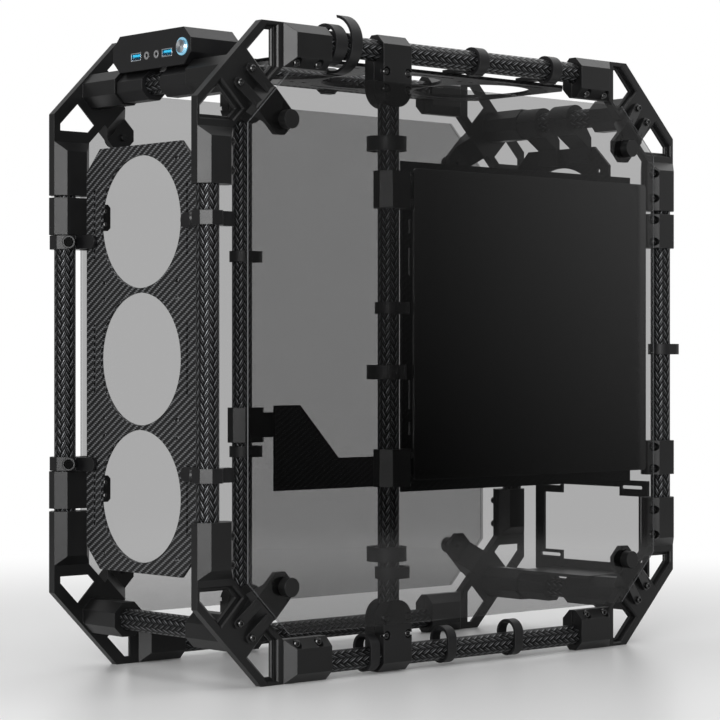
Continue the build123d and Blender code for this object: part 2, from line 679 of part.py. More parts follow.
# Rear fan plate and its hangers
rear_plate_top = TOP_CROSS_Z - REAR_PLATE_DROP
rear_plate_front = REAR_Y - REAR_PLATE_BACKSET - FAN_PLATE
rear_plate_centre = REAR_PLATE_GAP - INNER_FACE + REAR_PLATE_WIDTH / 2
rear_plane = Plane(
    origin=(rear_plate_centre, rear_plate_front, rear_plate_top - REAR_PLATE_HEIGHT / 2),
    x_dir=(-1, 0, 0),
    z_dir=(0, 1, 0),
)
with BuildPart() as rear_fan_plate:
    with BuildSketch(rear_plane) as outline:
        Rectangle(REAR_PLATE_WIDTH, REAR_PLATE_HEIGHT)
        chamfer(outline.vertices(), FAN_PLATE_CUT)
        Circle(FAN_OPENING / 2, mode=Mode.SUBTRACT)
        with GridLocations(FAN_SCREW_PITCH, FAN_SCREW_PITCH, 2, 2):
            Circle(FAN_SCREW_HOLE / 2, mode=Mode.SUBTRACT)
    extrude(amount=FAN_PLATE)
save(rear_fan_plate.part, "rear_fan_plate")

hanger_reach = rear_plate_front - REAR_CROSS_Y
with BuildPart() as rear_hangers:
    for position in HANGER_POSITIONS:
        middle = Plane(origin=(position, REAR_CROSS_Y, TOP_CROSS_Z), x_dir=(0, 1, 0), z_dir=(1, 0, 0))
        with BuildSketch(middle):
            Circle(HANGER_DIAMETER / 2)
            with BuildLine():
                Polyline(
                    (0, HANGER_DIAMETER / 2),
                    (hanger_reach, -HANGER_LAP),
                    (hanger_reach, -REAR_PLATE_DROP - HANGER_LAP),
                    (hanger_reach - HANGER_THICKNESS, -REAR_PLATE_DROP - HANGER_LAP),
                    (hanger_reach - HANGER_THICKNESS, -REAR_PLATE_DROP),
                    (0, -HANGER_DIAMETER / 2),
                    close=True,
                )
            make_face()
            Circle(BORE_RADIUS, mode=Mode.SUBTRACT)
            Rectangle(HANGER_DIAMETER / 2, CLAMP_SLIT, align=(Align.MAX, Align.CENTER), mode=Mode.SUBTRACT)
        extrude(amount=HANGER_WIDTH / 2, both=True)
save(rear_hangers.part, "rear_hangers")


# Octagonal clamps on the cross tubes
def carriers(cross_y, cross_z, seat):
    """Pair of clamps round a cross tube, cut flat above to carry a bracket."""
    with BuildPart() as pair:
        for offset_x in (-CARRIER_OFFSET, CARRIER_OFFSET):
            middle = Plane(origin=(offset_x, cross_y, cross_z), x_dir=(0, 1, 0), z_dir=(1, 0, 0))
            with BuildSketch(middle) as section:
                with Locations((0, -CARRIER_ACROSS / 2)):
                    Rectangle(CARRIER_ACROSS, CARRIER_ACROSS / 2 + seat, align=(Align.CENTER, Align.MIN))
                chamfer(section.vertices(), CARRIER_CORNER)
                Circle(BORE_RADIUS, mode=Mode.SUBTRACT)
                Rectangle(CARRIER_ACROSS / 2, CLAMP_SLIT, align=(Align.MIN, Align.CENTER), mode=Mode.SUBTRACT)
            extrude(amount=CARRIER_LENGTH / 2, both=True)
    return pair.part


save(carriers(FRONT_CROSS_Y, TOP_CROSS_Z, CARRIER_FRONT_SEAT), "port_box_clamps")
save(carriers(REAR_CROSS_Y, CROSS_INSET, CARRIER_REAR_SEAT), "power_supply_clamps")


# Power supply bracket: an upright sheet with the opening, and a flange that rests on its clamps
psu_bottom = CROSS_INSET + CARRIER_REAR_SEAT
psu_rear = REAR_Y - PSU_SHEET_INSET
psu_face = Plane(origin=(0, psu_rear, psu_bottom), x_dir=(-1, 0, 0), z_dir=(0, 1, 0))
with BuildPart() as power_supply_bracket:
    with BuildSketch(psu_face):
        Rectangle(PSU_WIDTH, PSU_HEIGHT, align=(Align.CENTER, Align.MIN))
        with Locations((0, PSU_OPENING_RAISE)):
            Rectangle(
                PSU_HOLE_SPAN - PSU_SLOT_LENGTH - 2 * PSU_SLOT_MARGIN,
                PSU_OPENING_HEIGHT,
                align=(Align.CENTER, Align.MIN),
                mode=Mode.SUBTRACT,
            )
        with Locations((0, PSU_OPENING_RAISE + PSU_EAR_HEIGHT)):
            Rectangle(
                PSU_OPENING_WIDTH,
                PSU_OPENING_HEIGHT - 2 * PSU_EAR_HEIGHT,
                align=(Align.CENTER, Align.MIN),
                mode=Mode.SUBTRACT,
            )
        with Locations((0, PSU_HOLE_BASE + PSU_HOLE_RISE / 2)):
            with GridLocations(PSU_HOLE_SPAN, PSU_HOLE_RISE, 2, 2):
                SlotOverall(PSU_SLOT_LENGTH, PSU_SLOT_WIDTH, mode=Mode.SUBTRACT)
    extrude(amount=-PSU_SHEET)
    with BuildSketch(Plane.XY.offset(psu_bottom)):
        with Locations((0, psu_rear)):
            Rectangle(2 * CARRIER_OFFSET + CARRIER_LENGTH, PSU_FLANGE_DEPTH, align=(Align.CENTER, Align.MAX))
    extrude(amount=PSU_SHEET)
save(power_supply_bracket.part, "power_supply_bracket")


# Port box on the front cross tube, with its face toward the front
box_bottom = TOP_CROSS_Z + CARRIER_FRONT_SEAT
box_front = FRONT_Y + BOX_FRONT_INSET
box_face = Plane(origin=(0, box_front, box_bottom), x_dir=(1, 0, 0), z_dir=(0, -1, 0))
button_room = BUTTON_LENGTH - BUTTON_PROUD + BUTTON_TRAVEL + STEM_CLEARANCE
with BuildPart() as port_box:
    with BuildSketch(box_face) as section:
        Rectangle(BOX_WIDTH, BOX_HEIGHT, align=(Align.CENTER, Align.MIN))
        chamfer(section.vertices(), BOX_CORNER)
    extrude(amount=-BOX_DEPTH)
    with BuildSketch(box_face):
        with Locations((-USB_OFFSET, PORT_RISE), (USB_OFFSET, PORT_RISE)):
            Rectangle(USB_WIDTH + 2 * PORT_FIT, USB_HEIGHT + 2 * PORT_FIT)
    extrude(amount=-USB_DEPTH, mode=Mode.SUBTRACT)
    with BuildSketch(box_face):
        with Locations((-JACK_OFFSET, PORT_RISE), (JACK_OFFSET, PORT_RISE)):
            Circle(JACK_DIAMETER / 2 + PORT_FIT)
    extrude(amount=-JACK_DEPTH, mode=Mode.SUBTRACT)
    with BuildSketch(box_face):
        with Locations((BUTTON_OFFSET, BUTTON_RISE)):
            Circle(BEZEL_DIAMETER / 2 + PORT_FIT)
    extrude(amount=-BEZEL_DEPTH, mode=Mode.SUBTRACT)
    with BuildSketch(box_face):
        with Locations((BUTTON_OFFSET, BUTTON_RISE)):
            Circle(BUTTON_DIAMETER / 2 + BUTTON_CLEARANCE)
    extrude(amount=-button_room, mode=Mode.SUBTRACT)
save(port_box.part, "port_box")

with BuildPart() as usb_sockets:
    with BuildSketch(box_face):
        with Locations((-USB_OFFSET, PORT_RISE), (USB_OFFSET, PORT_RISE)):
            Rectangle(USB_WIDTH, USB_HEIGHT)
    extrude(amount=-USB_DEPTH)
    with BuildSketch(box_face):
        with Locations((-USB_OFFSET, PORT_RISE), (USB_OFFSET, PORT_RISE)):
            Rectangle(USB_WIDTH - 2 * USB_SHELL, USB_HEIGHT - 2 * USB_SHELL)
    extrude(amount=USB_SHELL - USB_DEPTH, mode=Mode.SUBTRACT)
save(usb_sockets.part, "usb_sockets")

tongue_rise = PORT_RISE + TONGUE_RAISE
with BuildPart() as usb_tongues:
    with BuildSketch(box_face.offset(USB_SHELL - USB_DEPTH)):
        with Locations((-USB_OFFSET, tongue_rise), (USB_OFFSET, tongue_rise)):
            Rectangle(TONGUE_WIDTH, TONGUE_THICKNESS)
    extrude(amount=USB_DEPTH - USB_SHELL - TONGUE_SETBACK)
save(usb_tongues.part, "usb_tongues")

with BuildPart() as audio_jacks:
    with BuildSketch(box_face):
        with Locations((-JACK_OFFSET, PORT_RISE), (JACK_OFFSET, PORT_RISE)):
            Circle(JACK_DIAMETER / 2)
    extrude(amount=-JACK_DEPTH)
    with BuildSketch(box_face):
        with Locations((-JACK_OFFSET, PORT_RISE), (JACK_OFFSET, PORT_RISE)):
            Circle(JACK_BORE / 2)
    extrude(amount=JACK_FLOOR - JACK_DEPTH, mode=Mode.SUBTRACT)
save(audio_jacks.part, "audio_jacks")

with BuildPart() as power_bezel:
    with BuildSketch(box_face.offset(-BEZEL_DEPTH)):
        with Locations((BUTTON_OFFSET, BUTTON_RISE)):
            Circle(BEZEL_DIAMETER / 2)
            Circle(BUTTON_DIAMETER / 2 + BUTTON_CLEARANCE, mode=Mode.SUBTRACT)
    extrude(amount=BEZEL_DEPTH + BEZEL_PROUD)
save(power_bezel.part, "power_bezel")

with BuildPart() as power_button:
    with BuildSketch(box_face.offset(BUTTON_PROUD)):
        with Locations((BUTTON_OFFSET, BUTTON_RISE)):
            Circle(BUTTON_DIAMETER / 2)
    extrude(amount=-BUTTON_LENGTH)
save(power_button.part, "power_button")


# Rings and loops that hold cables along a tube
def snap_ring(plane, diameter, width, mouth=0.0):
    """Collar round a tube inside a larger ring that touches it. A mouth opens the ring along the first axis."""
    collar_radius = BORE_RADIUS + RING_WALL
    with BuildPart() as ring:
        with BuildSketch(plane):
            with Locations((diameter / 2 - collar_radius, 0)):
                Circle(diameter / 2)
                Circle(diameter / 2 - RING_WALL, mode=Mode.SUBTRACT)
                if mouth > 0:
                    with BuildLine():
                        Polyline((0, 0), (diameter, mouth), (diameter, -mouth), close=True)
                    make_face(mode=Mode.SUBTRACT)
            Circle(collar_radius)
            Circle(BORE_RADIUS, mode=Mode.SUBTRACT)
        extrude(amount=width / 2, both=True)
    return ring.part


def cable_loop(plane):
    """Long loop with a tube at one end and room for cables along the plane's first axis."""
    reach = LOOP_ROOM / 2
    with BuildPart() as loop:
        with BuildSketch(plane):
            with Locations((reach, 0)):
                SlotCenterToCenter(LOOP_ROOM, 2 * (BORE_RADIUS + RING_WALL))
                SlotCenterToCenter(LOOP_ROOM, 2 * BORE_RADIUS, mode=Mode.SUBTRACT)
        extrude(amount=LOOP_WIDTH / 2, both=True)
    return loop.part


with BuildPart() as cable_rings:
    for height in (FRAME_HEIGHT - RING_DROP, *RING_HEIGHTS):
        seat = Plane(origin=(RIGHT_X, MID_Y, height), x_dir=(-2, 1, 0), z_dir=(0, 0, 1))
        add(snap_ring(seat, RING_DIAMETER, RING_WIDTH))
    seat = Plane(origin=(RIGHT_X, FRONT_Y + RAIL_RING_SETBACK, TOP_RAIL_Z), x_dir=(-4, 0, 1), z_dir=(0, -1, 0))
    add(snap_ring(seat, RING_DIAMETER, RING_WIDTH))
save(cable_rings.part, "cable_rings")

with BuildPart() as cable_loops:
    for height in LOOP_HEIGHTS_RIGHT:
        add(cable_loop(Plane(origin=(RIGHT_X, MID_Y, height), x_dir=(0, 1, 0), z_dir=(0, 0, 1))))
    for height in LOOP_HEIGHTS_LEFT:
        add(cable_loop(Plane(origin=(-RIGHT_X, MID_Y, height), x_dir=(0, 1, 0), z_dir=(0, 0, 1))))
    rear_seat = Plane(origin=(RIGHT_X, REAR_POST_Y, FRAME_HEIGHT - REAR_LOOP_DROP), x_dir=(0, 1, 0), z_dir=(0, 0, 1))
    add(cable_loop(rear_seat))
    for setback in LOOP_SETBACKS_FLOOR:
        seat = Plane(origin=(RIGHT_X, FRONT_Y + setback, TUBE_INSET), x_dir=(0, 0, 1), z_dir=(0, 1, 0))
        add(cable_loop(seat))
save(cable_loops.part, "cable_loops")

seat = Plane(origin=(RIGHT_X, FRONT_Y + HOOK_RING_SETBACK, TOP_RAIL_Z), x_dir=(-4, 0, 1), z_dir=(0, -1, 0))
save(snap_ring(seat, HOOK_RING_DIAMETER, HOOK_RING_WIDTH, HOOK_RING_MOUTH), "cable_hook_ring")
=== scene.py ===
import math

import bmesh
import bpy
import numpy as np
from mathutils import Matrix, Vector


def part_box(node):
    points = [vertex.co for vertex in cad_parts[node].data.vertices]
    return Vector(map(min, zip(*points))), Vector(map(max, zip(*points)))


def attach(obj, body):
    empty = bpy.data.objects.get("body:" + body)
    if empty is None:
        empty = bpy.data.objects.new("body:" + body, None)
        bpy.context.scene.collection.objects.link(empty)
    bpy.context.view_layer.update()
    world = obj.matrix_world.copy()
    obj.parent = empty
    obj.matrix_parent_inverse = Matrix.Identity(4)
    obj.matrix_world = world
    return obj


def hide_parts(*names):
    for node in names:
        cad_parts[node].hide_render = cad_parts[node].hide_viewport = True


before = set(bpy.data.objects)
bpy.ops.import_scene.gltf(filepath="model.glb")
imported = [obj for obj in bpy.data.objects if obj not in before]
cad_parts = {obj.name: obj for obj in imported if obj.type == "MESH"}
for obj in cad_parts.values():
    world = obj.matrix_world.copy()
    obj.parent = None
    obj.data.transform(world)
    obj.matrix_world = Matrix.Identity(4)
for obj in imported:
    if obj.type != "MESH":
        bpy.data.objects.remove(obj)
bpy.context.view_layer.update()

# Sizes of the case, in metres, as the solids have them
HEIGHT = 0.5704
DEPTH = 0.6052
RIGHT_X = 0.1035
FRONT_Y = -DEPTH / 2
REAR_Y = DEPTH / 2
MID_Y = FRONT_Y + 0.2211
TUBE_INSET = 0.0146
CROSS_INSET = 0.047
PLATE_HALF = 0.004
FRONT_POST_Y = FRONT_Y + TUBE_INSET
REAR_POST_Y = REAR_Y - TUBE_INSET


class Nodes:
    """A node tree, with short ways to add nodes to it."""

    def __init__(self, tree):
        self.nodes = tree.nodes
        self.links = tree.links

    def node(self, kind, *feeds, **settings):
        """Add a node, set its options, and feed its inputs in order with sockets or plain values."""
        made = self.nodes.new(kind)
        for key, value in settings.items():
            setattr(made, key, value)
        for index, feed in enumerate(feeds):
            self.feed(made.inputs[index], feed)
        return made

    def feed(self, socket, value):
        """Link a socket into an input, or set the input to a plain value."""
        if isinstance(value, bpy.types.NodeSocket):
            self.links.new(value, socket)
        elif value is not None:
            socket.default_value = value

    def math(self, operation, *values):
        """One step of arithmetic on sockets or plain values."""
        return self.node("ShaderNodeMath", *values, operation=operation).outputs[0]

    def place(self):
        """Object coordinates as three separate values."""
        split = self.node("ShaderNodeSeparateXYZ", self.node("ShaderNodeTexCoord").outputs["Object"])
        return split.outputs

    def facing(self):
        """The face's own direction as three separate values."""
        geometry = self.node("ShaderNodeNewGeometry")
        return self.node("ShaderNodeSeparateXYZ", geometry.outputs["True Normal"]).outputs

    def noise(self, scale, detail=2.0):
        """Cloudy value from 0 to 1, at so many clouds per metre."""
        made = self.node("ShaderNodeTexNoise")
        made.inputs["Scale"].default_value = scale
        made.inputs["Detail"].default_value = detail
        self.feed(made.inputs["Vector"], self.node("ShaderNodeTexCoord").outputs["Object"])
        return made.outputs["Fac"]

    def between(self, share, low, high):
        """A value that runs from low to high as the share runs from 0 to 1."""
        made = self.node("ShaderNodeMapRange", share)
        made.inputs["To Min"].default_value = low
        made.inputs["To Max"].default_value = high
        return made.outputs[0]

    def blend(self, share, first, second):
        """A colour between two colours."""
        made = self.node("ShaderNodeMix", data_type="RGBA")
        self.feed(made.inputs["Factor"], share)
        for socket, colour in (("A", first), ("B", second)):
            target = [s for s in made.inputs if s.name == socket and s.type == "RGBA"][0]
            self.feed(target, (*colour, 1.0) if isinstance(colour, tuple) else colour)
        return [s for s in made.outputs if s.type == "RGBA"][0]

    def rounded(self, radius):
        """Normal of edges that are broken by a small radius."""
        made = self.node("ShaderNodeBevel", samples=4)
        made.inputs["Radius"].default_value = radius
        return made.outputs["Normal"]


class Finish(Nodes):
    """A material, with its shader."""

    def __init__(self, name, colour=(0.02, 0.02, 0.02), roughness=0.4, metallic=0.0):
        self.material = bpy.data.materials.new(name)
        self.material.use_nodes = True
        super().__init__(self.material.node_tree)
        self.shader = self.nodes["Principled BSDF"]
        self.shader.inputs["Base Color"].default_value = (*colour, 1.0)
        self.shader.inputs["Roughness"].default_value = roughness
        self.shader.inputs["Metallic"].default_value = metallic

    def bump(self, height, distance, strength=1.0, normal=None):
        """Relief on the faces, on top of a normal where one is given."""
        made = self.node("ShaderNodeBump")
        made.inputs["Strength"].default_value = strength
        made.inputs["Distance"].default_value = distance
        self.feed(made.inputs["Height"], height)
        if normal is not None:
            self.feed(made.inputs["Normal"], normal)
        self.feed(self.shader.inputs["Normal"], made.outputs["Normal"])


def black_anodising(
    name="black anodising", edge=0.0007, colour=0.0045, roughness=(0.30, 0.40), mirror=0.3
):
    """Fine blasted aluminium under black anodising, a little paler where hands rub it."""
    f = Finish(name)
    f.shader.inputs["Specular IOR Level"].default_value = mirror
    cloud = f.noise(38.0, 3.0)
    f.feed(f.shader.inputs["Roughness"], f.between(cloud, *roughness))
    worn = (colour * 1.3, colour * 1.32, colour * 1.38)
    f.feed(f.shader.inputs["Base Color"], f.blend(cloud, (colour * 0.8,) * 3, worn))
    f.bump(f.noise(2600.0, 2.0), 0.00004, 0.5, f.rounded(edge))
    return f.material


def moulded_black(name="moulded black", roughness=(0.42, 0.55)):
    """Dull black plastic with a very fine grain."""
    f = Finish(name)
    f.shader.inputs["Specular IOR Level"].default_value = 0.3
    cloud = f.noise(60.0, 3.0)
    f.feed(f.shader.inputs["Roughness"], f.between(cloud, *roughness))
    f.feed(f.shader.inputs["Base Color"], f.blend(cloud, (0.003, 0.003, 0.0034), (0.006, 0.006, 0.0065)))
    f.bump(f.noise(1500.0, 2.0), 0.00006, 0.6, f.rounded(0.0009))
    return f.material


def tow_weave(f, warp, weft, dark, sheen_pale, second_sheen_share, strands, rib, gap=1.0):
    """Two-over-two weave from two counters that rise by one per tow.

    A tow shows on top for two cells out of four along the diagonal. Its height is an arch across
    the tow times a hump along the two cells, with ribs for its strands. The arch falls by the gap
    share at the tow's borders. The colour is painted sheen and shade: the crowns of the tows are
    light as a painted highlight, the gaps between them dark as painted shade, and tows of the second
    direction darker by the second share, as painted sheen that only one direction catches."""
    warp_cell = f.math("FLOOR", warp)
    weft_cell = f.math("FLOOR", weft)
    step = f.math("FLOORED_MODULO", f.math("SUBTRACT", warp_cell, weft_cell), 4.0)
    first_on_top = f.math("LESS_THAN", step, 1.5)
    second_on_top = f.math("SUBTRACT", 1.0, first_on_top)

    def choose(first, second):
        return f.math("MULTIPLY_ADD", first_on_top, first, f.math("MULTIPLY", second_on_top, second))

    across = choose(f.math("FRACT", weft), f.math("FRACT", warp))
    first_along = f.math("FLOORED_MODULO", f.math("SUBTRACT", warp, weft_cell), 4.0)
    second_along = f.math("FLOORED_MODULO", f.math("SUBTRACT", weft, warp_cell), 4.0)
    along = choose(
        f.math("DIVIDE", first_along, 2.0),
        f.math("DIVIDE", f.math("SUBTRACT", second_along, 1.0), 2.0),
    )
    centred = f.math("SUBTRACT", f.math("MULTIPLY", across, 2.0), 1.0)
    arch = f.math("MULTIPLY_ADD", f.math("POWER", f.math("ABSOLUTE", centred), 2.6), -gap, 1.0)
    hump = f.math("POWER", f.math("ABSOLUTE", f.math("SINE", f.math("MULTIPLY", along, math.pi))), 0.5)
    ribs = f.math("SINE", f.math("MULTIPLY", across, 2 * math.pi * strands))
    body = f.math("MULTIPLY", arch, hump)
    ribbed = f.math("MULTIPLY", body, f.between(f.math("MULTIPLY_ADD", ribs, 0.5, 0.5), 1.0 - rib, 1.0))
    deep = f.math("POWER", ribbed, 2.4)
    # Painted sheen and shade: light on the tow crowns, dark in the gaps, much darker on tows of the
    # second direction
    shade = f.math("MULTIPLY", deep, f.between(first_on_top, second_sheen_share, 1.0))
    f.feed(f.shader.inputs["Base Color"], f.blend(shade, dark, sheen_pale))
    f.feed(f.shader.inputs["Roughness"], f.between(body, 0.6, 0.28))
    return ribbed


# The braid's tow pitch and count, and the widths of the twill's tows across and up
BRAID_PITCH = 0.0082
TOWS_ROUND = 14
TWILL_TOWS = (0.00228, 0.00148)

# Where the painted highlight line starts on the side sheets' cut edges
EDGE_GLINT_X = 0.1196


def braided_carbon(name, axis, centre):
    """Braided sleeve round a tube. The angle round the axis and the way along it count the tows."""
    f = Finish(name)
    place = f.place()
    index = "XYZ".index(axis)
    first, second = [i for i in range(3) if i != index]
    angle = f.math(
        "ARCTAN2",
        f.math("SUBTRACT", place[second], centre[1]),
        f.math("SUBTRACT", place[first], centre[0]),
    )
    round_count = f.math("MULTIPLY", angle, TOWS_ROUND / (2 * math.pi))
    along_count = f.math("DIVIDE", place[index], BRAID_PITCH)
    warp = f.math("ADD", along_count, round_count)
    weft = f.math("SUBTRACT", along_count, round_count)
    f.shader.inputs["Specular IOR Level"].default_value = 0.2
    f.shader.inputs["Metallic"].default_value = 0.6
    # Near-black carbon; the light colour on the tow crowns is a painted highlight standing in for the
    # fibres' sheen
    dark, sheen_pale = (0.0008, 0.0008, 0.0009), (0.250, 0.256, 0.266)
    relief = tow_weave(f, warp, weft, dark, sheen_pale, 0.6, 2.0, 0.85)
    f.bump(relief, 0.0006, 0.8)
    return f.material


def twill_carbon(name, sheen_pale=0.14, mirror=0.25):
    """Flat twill sheet with tows of two widths, their crowns lightened up to the sheen level as a
    painted highlight. Faces that look along an axis take the two others.
    """
    f = Finish(name)
    x, y, z = f.place()
    facing = f.facing()
    looks_x = f.math("GREATER_THAN", f.math("ABSOLUTE", facing[0]), 0.7)
    looks_z = f.math("GREATER_THAN", f.math("ABSOLUTE", facing[2]), 0.7)

    def either(share, yes, no):
        return f.math("MULTIPLY_ADD", share, yes, f.math("MULTIPLY", f.math("SUBTRACT", 1.0, share), no))

    across = f.math("DIVIDE", either(looks_x, y, x), TWILL_TOWS[0])
    up = f.math("DIVIDE", either(looks_z, y, z), TWILL_TOWS[1])
    f.shader.inputs["Specular IOR Level"].default_value = mirror
    # Near-black carbon; the sheen level is a painted highlight on the tow crowns, and tows of the second
    # direction stay nearly black as painted sheen by direction
    dark = (0.0012, 0.0012, 0.0014)
    relief = tow_weave(f, across, up, dark, (sheen_pale, sheen_pale * 1.02, sheen_pale * 1.05), 0.05, 1.0, 0.1, 0.35)
    f.bump(relief, 0.00025, 0.9)
    return f.material


def smoked_sheet(name="smoked clear sheet", cover=0.37, shade=0.0015):
    """Smoked clear sheet, see-through on its faces, with a thin painted highlight line along the outer
    side of its cut edges.
    """
    f = Finish(name, (shade, shade, shade), 0.08)
    x = f.place()[0]
    facing = f.facing()
    is_face = f.math("GREATER_THAN", f.math("ABSOLUTE", facing[0]), 0.7)
    is_edge_glint = f.math("GREATER_THAN", f.math("ABSOLUTE", x), EDGE_GLINT_X)
    smear = f.noise(7.0, 4.0)
    tinted = f.blend(smear, (shade * 0.8,) * 3, (shade * 1.2,) * 3)
    # Painted highlight: the outer strip of each cut edge is light grey and more opaque, and the rest of
    # the edge is near black
    edge_cover = f.between(is_edge_glint, 0.30, 0.75)
    edge_colour = f.blend(is_edge_glint, (0.01, 0.01, 0.011), (0.16, 0.165, 0.17))
    alpha = f.math("MULTIPLY_ADD", is_face, f.math("SUBTRACT", cover, edge_cover), edge_cover)
    f.feed(f.shader.inputs["Alpha"], alpha)
    f.feed(f.shader.inputs["Base Color"], f.blend(is_face, edge_colour, tinted))
    return f.material


def gloss_black_sheet(name="gloss black sheet"):
    """Polished black sheet with the faintest waviness."""
    f = Finish(name, (0.0008, 0.0008, 0.0008), 0.14)
    f.shader.inputs["Specular IOR Level"].default_value = 1.0
    smear = f.noise(9.0, 3.0)
    f.feed(f.shader.inputs["Roughness"], f.between(smear, 0.12, 0.18))
    f.feed(f.shader.inputs["Base Color"], f.blend(smear, (0.0006,) * 3, (0.0010, 0.0010, 0.0011)))
    f.bump(f.noise(14.0, 2.0), 0.0002, 0.15, f.rounded(0.0006))
    return f.material


def plated_steel(name="plated steel", colour=(0.62, 0.66, 0.70), roughness=(0.16, 0.32)):
    """Bright plated sheet steel with faint clouding."""
    f = Finish(name, colour, 0.25, 1.0)
    cloud = f.noise(240.0, 3.0)
    f.feed(f.shader.inputs["Roughness"], f.between(cloud, *roughness))
    f.feed(f.shader.inputs["Base Color"], f.blend(cloud, tuple(c * 0.85 for c in colour), colour))
    f.bump(f.noise(1800.0, 2.0), 0.00003, 0.4, f.rounded(0.0002))
    return f.material


def turned_steel(name, centre):
    """Steel faced on a lathe: fine rings round the middle of the button, and a painted reflection of two
    bright wedges across it.
    """
    f = Finish(name, (0.72, 0.78, 0.84), 0.2, 1.0)
    x, _, z = f.place()
    dx = f.math("SUBTRACT", x, centre[0])
    dz = f.math("SUBTRACT", z, centre[1])
    radius = f.math("SQRT", f.math("ADD", f.math("MULTIPLY", dx, dx), f.math("MULTIPLY", dz, dz)))
    rings = f.math("SINE", f.math("MULTIPLY", radius, 2 * math.pi / 0.00035))
    f.feed(f.shader.inputs["Roughness"], f.between(rings, 0.14, 0.26))
    turn = f.math("ARCTAN2", dz, dx)
    # Painted reflection: the colour runs from dark grey to near white in two opposite wedges round the
    # middle
    fan = f.math("POWER", f.math("ABSOLUTE", f.math("COSINE", f.math("ADD", turn, 0.6))), 3.0)
    f.feed(f.shader.inputs["Base Color"], f.blend(fan, (0.25, 0.28, 0.31), (0.90, 0.94, 0.97)))
    f.bump(rings, 0.00006, 0.5, f.rounded(0.0006))
    return f.material


def blue_insert(name="blue insert"):
    """Clear blue moulded tongue of a fast socket."""
    f = Finish(name, (0.02, 0.45, 0.75), 0.3)
    cloud = f.noise(300.0, 2.0)
    f.feed(f.shader.inputs["Base Color"], f.blend(cloud, (0.015, 0.42, 0.72), (0.03, 0.55, 0.85)))
    f.feed(f.shader.inputs["Roughness"], f.between(cloud, 0.25, 0.4))
    return f.material


def dress(node, material):
    """Give a solid its material."""
    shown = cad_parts[node]
    shown.data.materials.clear()
    shown.data.materials.append(material)


# Materials that more than one piece has
anodised = black_anodising()
plastic = moulded_black()
satin = moulded_black("satin black clip", (0.28, 0.36))
# The front sheet's twill carries a bright painted sheen; the sheets inside the case take a darker copy
# of the same twill as painted shade
lit_front_carbon = twill_carbon("twill carbon")
shaded_inner_carbon = twill_carbon("shaded inner twill carbon", 0.018, 0.15)
smoked = smoked_sheet()
fastener = black_anodising("black oxide screw", 0.0002, 0.003, (0.16, 0.22), 0.6)

# Every tube gets a braid of its own round its middle line
tubes = {}
for side, sign in (("right", 1), ("left", -1)):
    for end, post_y in (("front", FRONT_POST_Y), ("middle", MID_Y), ("rear", REAR_POST_Y)):
        tubes[f"post_{end}_{side}"] = ("Z", (sign * RIGHT_X, post_y))
    for level, rail_z in (("top", HEIGHT - TUBE_INSET), ("bottom", TUBE_INSET)):
        tubes[f"rail_{side}_{level}"] = ("Y", (sign * RIGHT_X, rail_z))
for end, cross_y in (("front", FRONT_Y + CROSS_INSET), ("rear", REAR_Y - CROSS_INSET)):
    for level, cross_z in (("top", HEIGHT - CROSS_INSET), ("bottom", CROSS_INSET)):
        tubes[f"cross_tube_{end}_{level}"] = ("X", (cross_y, cross_z))
for node, (axis, centre) in tubes.items():
    dress(node, braided_carbon(f"braided carbon {node}", axis, centre))

# The power button's middle, in X and Z
BUTTON = (0.044, 0.5503)

# The other solids go by the start of their name, and then single ones by their whole name
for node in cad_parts:
    if node.startswith(("corner_", "tee_", "panel_knobs")):
        dress(node, anodised)
    elif node == "front_fan_plate":
        dress(node, lit_front_carbon)
    elif node in ("top_fan_plate", "rear_fan_plate", "motherboard_tray", "riser_bracket"):
        dress(node, shaded_inner_carbon)
    elif node.startswith("side_panel"):
        dress(node, smoked)
    elif node not in tubes:
        dress(node, plastic)
dress("power_supply_bracket", anodised)
dress("tray_cover", gloss_black_sheet())
dress("cover_standoffs", anodised)
dress("usb_sockets", plated_steel())
dress("usb_tongues", blue_insert())
dress("audio_jacks", plated_steel("dull plated steel", (0.55, 0.55, 0.56), (0.25, 0.40)))
lit_ring = plated_steel("blue lit ring", (0.45, 0.68, 0.80), (0.12, 0.22))
lit_shader = lit_ring.node_tree.nodes["Principled BSDF"]
lit_shader.inputs["Emission Color"].default_value = (0.25, 0.70, 1.0, 1.0)
lit_shader.inputs["Emission Strength"].default_value = 0.45
dress("power_bezel", lit_ring)
dress("power_button", turned_steel("turned steel", BUTTON))
dress("port_box", moulded_black("fine black box", (0.36, 0.46)))
dress("front_fan_clips", satin)


# Shapes for screws, pockets and prongs, and the pieces made of them
def new_piece(name, mesh, material):
    """Piece with a material, riding on the frame."""
    piece = bpy.data.objects.new(name, mesh)
    bpy.context.scene.collection.objects.link(piece)
    mesh.materials.append(material)
    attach(piece, "frame")


def ring_faces(rows, columns):
    """Quads between each two rings of a grid that closes round, then split into triangles."""
    r, c = np.meshgrid(np.arange(rows - 1), np.arange(columns), indexing="ij")
    a = r * columns + c
    b = r * columns + (c + 1) % columns
    quads = np.stack([a, b, b + columns, a + columns], axis=-1).reshape(-1, 4)
    return np.concatenate([quads[:, [0, 1, 2]], quads[:, [0, 2, 3]]])


